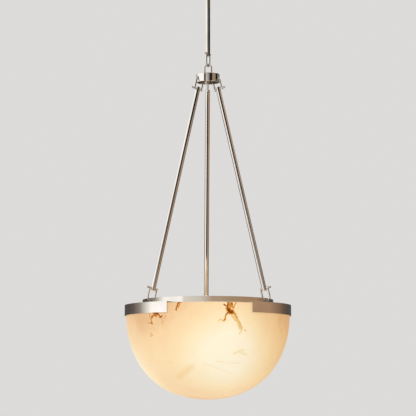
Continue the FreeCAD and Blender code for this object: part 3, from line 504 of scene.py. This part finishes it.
def lathe(outline, segments, closed=True):
    """Turn (radius, height) points about Z, in metres; points on the axis become one.
    Where it is closed, the last point is joined to the first."""
    work = bmesh.new()
    rows = []
    for radius, height in outline:
        if radius < 1e-9:
            rows.append([work.verts.new((0, 0, height))] * segments)
            continue
        rows.append([work.verts.new((radius * x, radius * y, height))
                     for x, y in round_steps(segments)])
    pairs = list(zip(rows, rows[1:]))
    if closed:
        pairs.append((rows[-1], rows[0]))
    for low, high in pairs:
        for k in range(segments):
            after = (k + 1) % segments
            corners = []
            for vertex in (low[k], low[after], high[after], high[k]):
                if vertex not in corners:
                    corners.append(vertex)
            if len(corners) > 2:
                work.faces.new(corners)
    bmesh.ops.recalc_face_normals(work, faces=work.faces)
    mesh = bpy.data.meshes.new("turned")
    work.to_mesh(mesh)
    work.free()
    shade(mesh)
    return mesh


def join(*meshes):
    """One mesh that holds all of these."""
    work = bmesh.new()
    for mesh in meshes:
        work.from_mesh(mesh)
    mesh = bpy.data.meshes.new("joined")
    work.to_mesh(mesh)
    work.free()
    return mesh


def moved(mesh, matrix):
    mesh = mesh.copy()
    mesh.transform(matrix)
    return mesh


def along_x(mesh):
    """Turn a lathe's Z axis to X."""
    return moved(mesh, Matrix.Rotation(math.radians(90.0), 4, "Y"))


def radial(azimuth, radius, z, lean=0.0, flip=False):
    """A place at an azimuth: X points outward and up by lean, Z up; flip turns Z down."""
    turn = Matrix.Rotation(math.radians(azimuth), 4, "Z")
    turn = turn @ Matrix.Rotation(math.radians(-lean), 4, "Y")
    if flip:
        turn = turn @ Matrix.Rotation(math.pi, 4, "X")
    angle = math.radians(azimuth)
    return Matrix.Translation((radius * math.cos(angle), radius * math.sin(angle), z)) @ turn


def swept(points, radius, segments):
    """A round wire through the points of a path that lies in the XZ plane."""
    work = bmesh.new()
    rows = []
    for index, point in enumerate(points):
        before = points[max(index - 1, 0)]
        after = points[min(index + 1, len(points) - 1)]
        along = (after - before).normalized()
        side = Vector((0.0, 1.0, 0.0))
        across = along.cross(side)
        rows.append([work.verts.new(point + radius * (x * side + y * across))
                     for x, y in round_steps(segments)])
    for low, high in zip(rows, rows[1:]):
        for k in range(segments):
            after = (k + 1) % segments
            work.faces.new((low[k], low[after], high[after], high[k]))
    work.faces.new(rows[0])
    work.faces.new(rows[-1])
    bmesh.ops.recalc_face_normals(work, faces=work.faces)
    mesh = bpy.data.meshes.new("wire")
    work.to_mesh(mesh)
    work.free()
    return mesh


def chamfered(radius, length, chamfer):
    """The outline of a plain turned bar with broken ends, from height 0."""
    return [(0.0, 0.0), (radius - chamfer, 0.0), (radius, chamfer), (radius, length - chamfer),
            (radius - chamfer, length), (0.0, length)]


# ---------------------------------------------------------------- shackles and pins

WIRE_RADIUS = 0.00325
HALF_WIDTH = 0.0145
ARC_DROP = 0.0305
LEG_STEP = 0.0015
EYE_RADIUS = 0.0048
EYE_LENGTH = 0.007
PIN_RADIUS = 0.0025
BALL_RADIUS = 0.0043
BALL_OFFSET = 0.0095


def forged_bow():
    """A U bow whose round wire runs into its two flat eyes, blended as a forging is."""
    path = [Vector((-HALF_WIDTH, 0.0, -LEG_STEP * k)) for k in range(21)]
    path += [Vector((HALF_WIDTH * math.cos(math.pi * (1 + k / 32)), 0.0,
                     -ARC_DROP + HALF_WIDTH * math.sin(math.pi * (1 + k / 32))))
             for k in range(33)]
    path += [Vector((HALF_WIDTH, 0.0, -LEG_STEP * (20 - k))) for k in range(21)]
    wire = swept(path, WIRE_RADIUS, 20)
    eye = along_x(lathe(chamfered(EYE_RADIUS, EYE_LENGTH, 0.0009), 32))
    eyes = [moved(eye, Matrix.Translation((side * HALF_WIDTH - EYE_LENGTH / 2, 0.0, 0.0)))
            for side in (-1, 1)]
    blank = join(wire, *eyes)
    result = applied(blank, ("REMESH", {"mode": "VOXEL", "voxel_size": 0.00042}),
                     ("SMOOTH", {"factor": 0.6, "iterations": 5}))
    result.shade_smooth()
    return result


def screw_pin():
    """The pin's shaft with its collar and ball on the outer side."""
    half = HALF_WIDTH + EYE_LENGTH / 2
    shaft = [(0.0, -half - 0.0001), (0.0021, -half - 0.0001), (PIN_RADIUS, -half + 0.0003),
             (PIN_RADIUS, half), (0.0041, half), (0.0043, half + 0.0002),
             (0.0043, half + 0.0010), (0.0036, half + 0.0013), (0.0024, half + 0.0016)]
    centre = HALF_WIDTH + BALL_OFFSET
    ball = [(BALL_RADIUS * math.sin(math.radians(a)),
             centre - BALL_RADIUS * math.cos(math.radians(a))) for a in range(34, 180, 9)]
    ball.append((0.0, centre + BALL_RADIUS))
    return along_x(lathe(shaft + ball, 32, closed=False))


def make_shackles():
    """The top shackle, and two on each rod: upside down above, upright below."""
    bow = forged_bow()
    pin = screw_pin()
    places = [("top_shackle", "top_pin", radial(TOP_PIN_AZIMUTH, TOP_PIN[0], TOP_PIN[1]))]
    for number, azimuth in enumerate(ATTACHMENTS, start=1):
        places.append(("upper_shackle_%d" % number, "upper_pin_%d" % number,
                       radial(azimuth, UPPER_PIN[0], UPPER_PIN[1], LEAN, flip=True)))
        places.append(("lower_shackle_%d" % number, "lower_pin_%d" % number,
                       radial(azimuth, LOWER_PIN[0], LOWER_PIN[1], LEAN)))
    for bow_node, pin_node, place in places:
        new_piece(bow_node + "_forged", moved(bow, place), bow_node)
        new_piece(pin_node + "_turned", moved(pin, place), pin_node)


# ---------------------------------------------------------------- stone

def make_stone():
    """The bowl with a small rounded lip, turned finely enough for its outline."""
    rim = (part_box("alabaster_bowl")[1].z - RING_Z) * MM
    inner_radius = STONE_RADIUS - STONE_WALL
    outer = stone_curve(STONE_RADIUS, STONE_BOTTOM, 72)
    inner = stone_curve(inner_radius, STONE_BOTTOM + STONE_WALL, 60)
    lip = 1.4
    steps = [(lip * (1 - math.sin(math.radians(a))), lip * (1 - math.cos(math.radians(a))))
             for a in range(0, 91, 18)]
    corner = [(STONE_RADIUS - aside, rim - down) for aside, down in steps]
    inside = [(inner_radius + aside, rim - down) for aside, down in reversed(steps)]
    outline = inner[::-1] + inside + corner + outer
    outline = [(r / MM, RING_Z + z / MM) for r, z in outline]
    new_piece("alabaster_bowl_stone", lathe(outline, 224, closed=False), "alabaster_bowl")


# ---------------------------------------------------------------- lamps

def lamp_places():
    places = []
    for turn in (0.0, 120.0, 240.0):
        here = radial(LAMP_AZIMUTH + turn, LAMP_RADIUS, RING_Z - LAMP_DROP)
        places.append(here @ Matrix.Rotation(math.radians(LAMP_TILT), 4, "Y"))
    return places


def screw_cap():
    """A bulb's screw cap: rolled thread, solder button and insulating ring."""
    profile = [(0.0, 0.0140), (0.0032, 0.0140), (0.0040, 0.0146), (0.0040, 0.0155),
               (0.0088, 0.0158), (0.0112, 0.0172)]
    for turn in range(6):
        base = 0.0178 + turn * 0.0034
        profile += [(0.0117, base), (0.0128, base + 0.0009), (0.0130, base + 0.0017),
                    (0.0128, base + 0.0025)]
    profile += [(0.0119, 0.0385), (0.0130, 0.0395), (0.0130, 0.0414), (0.0, 0.0414)]
    return lathe(profile, 48, closed=False)


def lamp_holder():
    """A moulded lamp holder: ribbed skirt, open mouth with a rolled lip, domed back."""
    skirt = [(0.0052, 0.0), (0.0150, 0.0), (0.0180, 0.0012), (0.0190, 0.0034)]
    for rib in range(7):
        base = 0.0060 + rib * 0.0030
        skirt += [(0.0190, base), (0.0183, base + 0.0007), (0.0183, base + 0.0017),
                  (0.0190, base + 0.0024)]
    skirt += [(0.0190, 0.0400), (0.0184, 0.0415), (0.0172, 0.0420), (0.0150, 0.0420),
              (0.0136, 0.0412), (0.0132, 0.0400), (0.0132, 0.0140), (0.0052, 0.0140)]
    return lathe(skirt, 56)


def bulb_glass():
    """The bulb's envelope as one smooth pear, from its neck to its crown."""
    globe = 0.030
    centre = 0.0920
    neck = 0.0415
    foot = (0.0131, neck + 0.003)
    profile = [(0.0129, neck), foot]
    tangent = math.radians(19.0)
    start = (globe * math.cos(tangent), centre - globe * math.sin(tangent))
    for step in range(1, 13):
        t = step / 12.0
        ease = t * t * (3 - 2 * t)
        profile.append((foot[0] + (start[0] - foot[0]) * (0.35 * t + 0.65 * ease),
                        foot[1] + (start[1] - foot[1]) * t))
    for step in range(1, 19):
        angle = -tangent + (math.pi / 2 + tangent) * step / 18.0
        profile.append((max(globe * math.cos(angle), 0.0), centre + globe * math.sin(angle)))
    profile[-1] = (0.0, centre + globe)
    return lathe(profile, 56, closed=False)


def make_lamps():
    cap, holder, glass = screw_cap(), lamp_holder(), bulb_glass()
    for number, place in enumerate(lamp_places(), start=1):
        for node, mesh, finish in (("lamp_holder_%d", holder, "_moulded"),
                                   ("bulb_cap_%d", cap, "_rolled"),
                                   ("bulb_glass_%d", glass, "_blown")):
            new_piece(node % number + finish, moved(mesh, place), node % number)


# ---------------------------------------------------------------- small turned pieces

def thread(radius, length, pitch, bore):
    """A threaded tube's outline, from height 0 up."""
    root = radius - 0.0005
    outline = [(bore, 0.0), (root, 0.0)]
    for turn in range(int(length / pitch) - 1):
        base = turn * pitch + 0.2 * pitch
        outline += [(root, base), (radius, base + 0.4 * pitch), (root, base + 0.8 * pitch)]
    outline += [(root, length), (bore, length)]
    return outline


def make_ceiling_details():
    """The threaded nipple, and the collar's thumb screw with its knurled head."""
    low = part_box("threaded_nipple")[0].z
    mesh = lathe(thread(0.005, -low, 0.0015, 0.0035), 40)
    new_piece("threaded_nipple_cut", moved(mesh, Matrix.Translation((0, 0, low))),
              "threaded_nipple")

    inner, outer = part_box("collar_thumb_screw")
    middle = (inner.z + outer.z) / 2
    head_length = 0.0025
    knurls = 24
    start = outer.x - head_length
    shank = lathe([(0.0, 0.0), (0.0016, 0.0), (0.0020, 0.0004), (0.0020, start - inner.x),
                   (0.0, start - inner.x)], 24)
    head = lathe(chamfered(0.0037, head_length, 0.0003), 2 * knurls)
    for vertex in head.vertices:
        turn = math.atan2(vertex.co.y, vertex.co.x)
        if math.hypot(vertex.co.x, vertex.co.y) > 0.0030:
            vertex.co.xy *= 1.0 - 0.03 * (1 + math.cos(knurls * turn))
    mesh = join(moved(along_x(shank), Matrix.Translation((inner.x, 0, middle))),
                moved(along_x(head), Matrix.Translation((start, 0, middle))))
    shade(mesh)
    new_piece("collar_thumb_screw_turned", mesh, "collar_thumb_screw")


# ---------------------------------------------------------------- build

make_stone()
make_shackles()
make_lamps()
make_ceiling_details()

# CAD nodes that keep their shape, and how far their edges are broken.
for plain_node, edge in (("crossbar", 0.0004), ("lock_nut", 0.0006), ("ground_screw", 0.0004),
                         ("canopy", 0.0004), ("canopy_collar", 0.0004), ("stem", 0.0003),
                         ("stem_foot_plug", 0.0005), ("hub_cup", 0.0005), ("hub_loop", 0.0004),
                         ("loop_nuts", 0.0006), ("wire_bushing", 0.0006),
                         ("crown_ring", 0.0005), ("ring_screws", 0.0004),
                         ("rim_liners", 0.0003), ("clamp_plates", 0.0004),
                         ("bracket_studs", 0.0003), ("stone_bushes", 0.0003),
                         ("stud_nuts", 0.0005), ("lamp_spider", 0.0005),
                         ("spider_screws", 0.0004), ("junction_cup", 0.0006),
                         ("lamp_nipples", 0.0002)):
    dress(plain_node, edge)
for index in range(1, len(ATTACHMENTS) + 1):
    dress("rod_%d" % index, 0.0003)
    dress("rod_%d_plugs" % index, 0.0005)
    dress("tab_bracket_%d" % index, 0.0006)
inner_tube = frame["nodes"]["stem_thread_insert"]
inner_tube.data.materials.clear()
inner_tube.data.materials.append(MATERIALS[SLOT_OF["stem_thread_insert"]])


# ---------------------------------------------------------------- stage, lights, camera

FLOOR_Z = -2.45
MIDDLE = Vector((0.0, 0.0, -0.95))


def shown_ray(tree):
    """1 for rays that show the background: straight to the camera, mirrored or refracted."""
    rays = add(tree, "ShaderNodeLightPath").outputs
    shown = math_node(tree, "MAXIMUM", rays["Is Camera Ray"], rays["Is Glossy Ray"])
    return math_node(tree, "MAXIMUM", shown, rays["Is Transmission Ray"])


def floor_material(colour):
    """A plain matt floor with a faint grain; from below it is clear."""
    material, tree, shader, coordinates = start_material("pale_floor")
    grain = noise_node(tree, coordinates, 3.0, 4.0)
    tone = mix(tree, grain.outputs[0], opaque([0.97 * level for level in colour]),
               opaque(colour))
    tree.links.new(tone, shader.inputs["Base Color"])
    tree.links.new(tone, shader.inputs["Emission Color"])
    tree.links.new(math_node(tree, "MULTIPLY", shown_ray(tree), 0.3),
                   shader.inputs["Emission Strength"])
    shader.inputs["Roughness"].default_value = 0.9
    below = add(tree, "ShaderNodeNewGeometry").outputs["Backfacing"]
    clear = add(tree, "ShaderNodeBsdfTransparent")
    either = add(tree, "ShaderNodeMixShader", {0: below, 1: shader.outputs[0],
                                               2: clear.outputs[0]})
    output = [item for item in tree.nodes if item.type == "OUTPUT_MATERIAL"][0]
    tree.links.new(either.outputs[0], output.inputs[0])
    return material


def make_floor():
    mesh = bpy.data.meshes.new("floor")
    work = bmesh.new()
    bmesh.ops.create_circle(work, cap_ends=True, radius=14.0, segments=96)
    work.to_mesh(mesh)
    work.free()
    mesh.materials.append(floor_material((0.80, 0.79, 0.77)))
    floor = bpy.data.objects.new("floor", mesh)
    floor.location = (0.0, 0.0, FLOOR_Z)
    bpy.context.scene.collection.objects.link(floor)


def make_lights():
    """A pale world, and three soft lamps that no mirror shows, aimed at the middle."""
    world = bpy.data.worlds.new("studio")
    bpy.context.scene.world = world
    world.use_nodes = True
    tree = world.node_tree
    tree.nodes.clear()
    strength = rescale(tree, shown_ray(tree), 0.0, 1.0, 0.6, 0.74)
    background = add(tree, "ShaderNodeBackground",
                     {"Color": (0.97, 0.96, 0.95, 1.0), "Strength": strength})
    output = add(tree, "ShaderNodeOutputWorld")
    tree.links.new(background.outputs[0], output.inputs[0])
    for name, place, size, energy in (("key", (-2.6, -3.4, 0.9), 1.8, 90.0),
                                      ("fill", (3.4, -2.4, -0.3), 2.2, 35.0),
                                      ("rear", (0.6, 3.6, 0.6), 2.0, 45.0)):
        lamp = bpy.data.lights.new(name, "AREA")
        lamp.shape = "RECTANGLE"
        lamp.size = size
        lamp.size_y = size * 1.4
        lamp.energy = energy
        obj = bpy.data.objects.new(name, lamp)
        obj.location = place
        aim = MIDDLE - Vector(place)
        obj.rotation_euler = aim.to_track_quat("-Z", "Y").to_euler()
        obj.visible_glossy = False
        bpy.context.scene.collection.objects.link(obj)


# Soft cards and dark flags round the lamp, for the polished metal to mirror: rows of
# (azimuth in degrees, brightness and tone).  The ring and tabs mirror the low row, the hub
# the middle row, the stem its own row, and the sloping rods the high row.
WHITE, PALE, GREY = (1.5, 1.49, 1.5), (1.0, 0.96, 0.9), (0.4, 0.36, 0.33)
SLATE = (0.11, 0.1, 0.1)
TAN, BROWN, BLACK = (0.6, 0.46, 0.33), (0.6, 0.38, 0.24), (0.015, 0.015, 0.016)
LOW_CARDS = ((0, BROWN), (18, (0.38, 0.24, 0.16)), (32, (0.22, 0.15, 0.1)), (50, SLATE),
             (74, SLATE), (80, (0.24, 0.14, 0.05)), (100, (0.24, 0.14, 0.05)), (106, SLATE),
             (130, SLATE), (148, (0.2, 0.16, 0.14)), (163, GREY), (176, PALE), (186, WHITE),
             (222, WHITE), (227, PALE), (256, (0.88, 0.82, 0.74)), (276, TAN),
             (315, (0.56, 0.4, 0.26)), (336, BROWN), (360, BROWN))
MIDDLE_CARDS = ((0, BLACK), (14, BLACK), (22, GREY), (60, SLATE), (110, SLATE), (132, PALE),
                (170, WHITE), (228, WHITE), (230, BLACK), (246, BLACK), (249, PALE),
                (281, GREY), (287, BLACK), (310, BLACK), (315, TAN), (348, TAN), (352, BLACK),
                (360, BLACK))
STEM_CARDS = ((0, BLACK), (60, BLACK), (110, PALE), (150, WHITE), (226, WHITE),
              (238, (0.6, 0.56, 0.54)), (286, (0.2, 0.18, 0.17)), (312, BLACK), (360, BLACK))
HIGH_CARDS = ((0, TAN), (40, TAN), (70, BLACK), (100, GREY), (130, WHITE), (226, WHITE),
              (236, BLACK), (304, BLACK), (314, TAN), (360, TAN))


def cards_material():
    """Light given off by the cards, by azimuth and height."""
    material, tree, shader, coordinates = start_material("reflection_cards")
    parts = add(tree, "ShaderNodeSeparateXYZ", {0: coordinates}).outputs
    turn = math_node(tree, "ARCTAN2", parts[1], parts[0])
    turn = math_node(tree, "MULTIPLY", turn, 0.5 / math.pi)
    turn = math_node(tree, "FRACT", turn)
    rows = (LOW_CARDS, MIDDLE_CARDS, STEM_CARDS, HIGH_CARDS)
    low, middle, stem, high = (ramp(tree, turn, [(azimuth / 360.0, tone)
                                                 for azimuth, tone in row]) for row in rows)
    colour = mix(tree, rescale(tree, parts[2], -0.4, -0.1, 0.0, 1.0), low, middle)
    colour = mix(tree, rescale(tree, parts[2], 0.58, 0.66, 0.0, 1.0), colour, stem)
    colour = mix(tree, rescale(tree, parts[2], 1.0, 1.2, 0.0, 1.0), colour, high)
    colour = mix(tree, rescale(tree, parts[2], -2.3, -2.1, 1.0, 0.0), colour, high)
    tree.links.new(colour, shader.inputs["Emission Color"])
    shader.inputs["Emission Strength"].default_value = 1.0
    shader.inputs["Base Color"].default_value = (0.0, 0.0, 0.0, 1.0)
    shader.inputs["Roughness"].default_value = 1.0
    shader.inputs["Specular IOR Level"].default_value = 0.0
    return material


def make_cards():
    """A dish and a wall round the lamp that only mirrored rays see."""
    low = FLOOR_Z + 0.05
    mesh = lathe([(1.9, low), (5.5, low + 0.02), (5.5, 3.6)], 120, closed=False)
    mesh.materials.append(cards_material())
    cards = bpy.data.objects.new("reflection_cards", mesh)
    for kind in ("camera", "diffuse", "transmission", "volume_scatter", "shadow"):
        setattr(cards, "visible_" + kind, False)
    bpy.context.scene.collection.objects.link(cards)


def make_camera():
    """The photograph's view: from a little to the left, and from under the ring."""
    distance = 7.6
    azimuth = math.radians(1.5)
    pitch = math.radians(90.0 + 6.2)
    tenth_of_a_pixel = 0.1 / 2088.0
    data = bpy.data.cameras.new("camera")
    data.sensor_width = 36.0
    data.lens = 180.7
    data.clip_end = 60.0
    camera = bpy.data.objects.new("camera", data)
    camera.location = (-distance * math.sin(azimuth), -distance * math.cos(azimuth),
                       RING_Z - 0.468)
    camera.rotation_euler = (pitch, 0.0, -azimuth - tenth_of_a_pixel)
    bpy.context.scene.collection.objects.link(camera)
    bpy.context.scene.camera = camera


make_floor()
make_lights()
make_cards()
make_camera()
bpy.context.scene.view_settings.view_transform = "Standard"
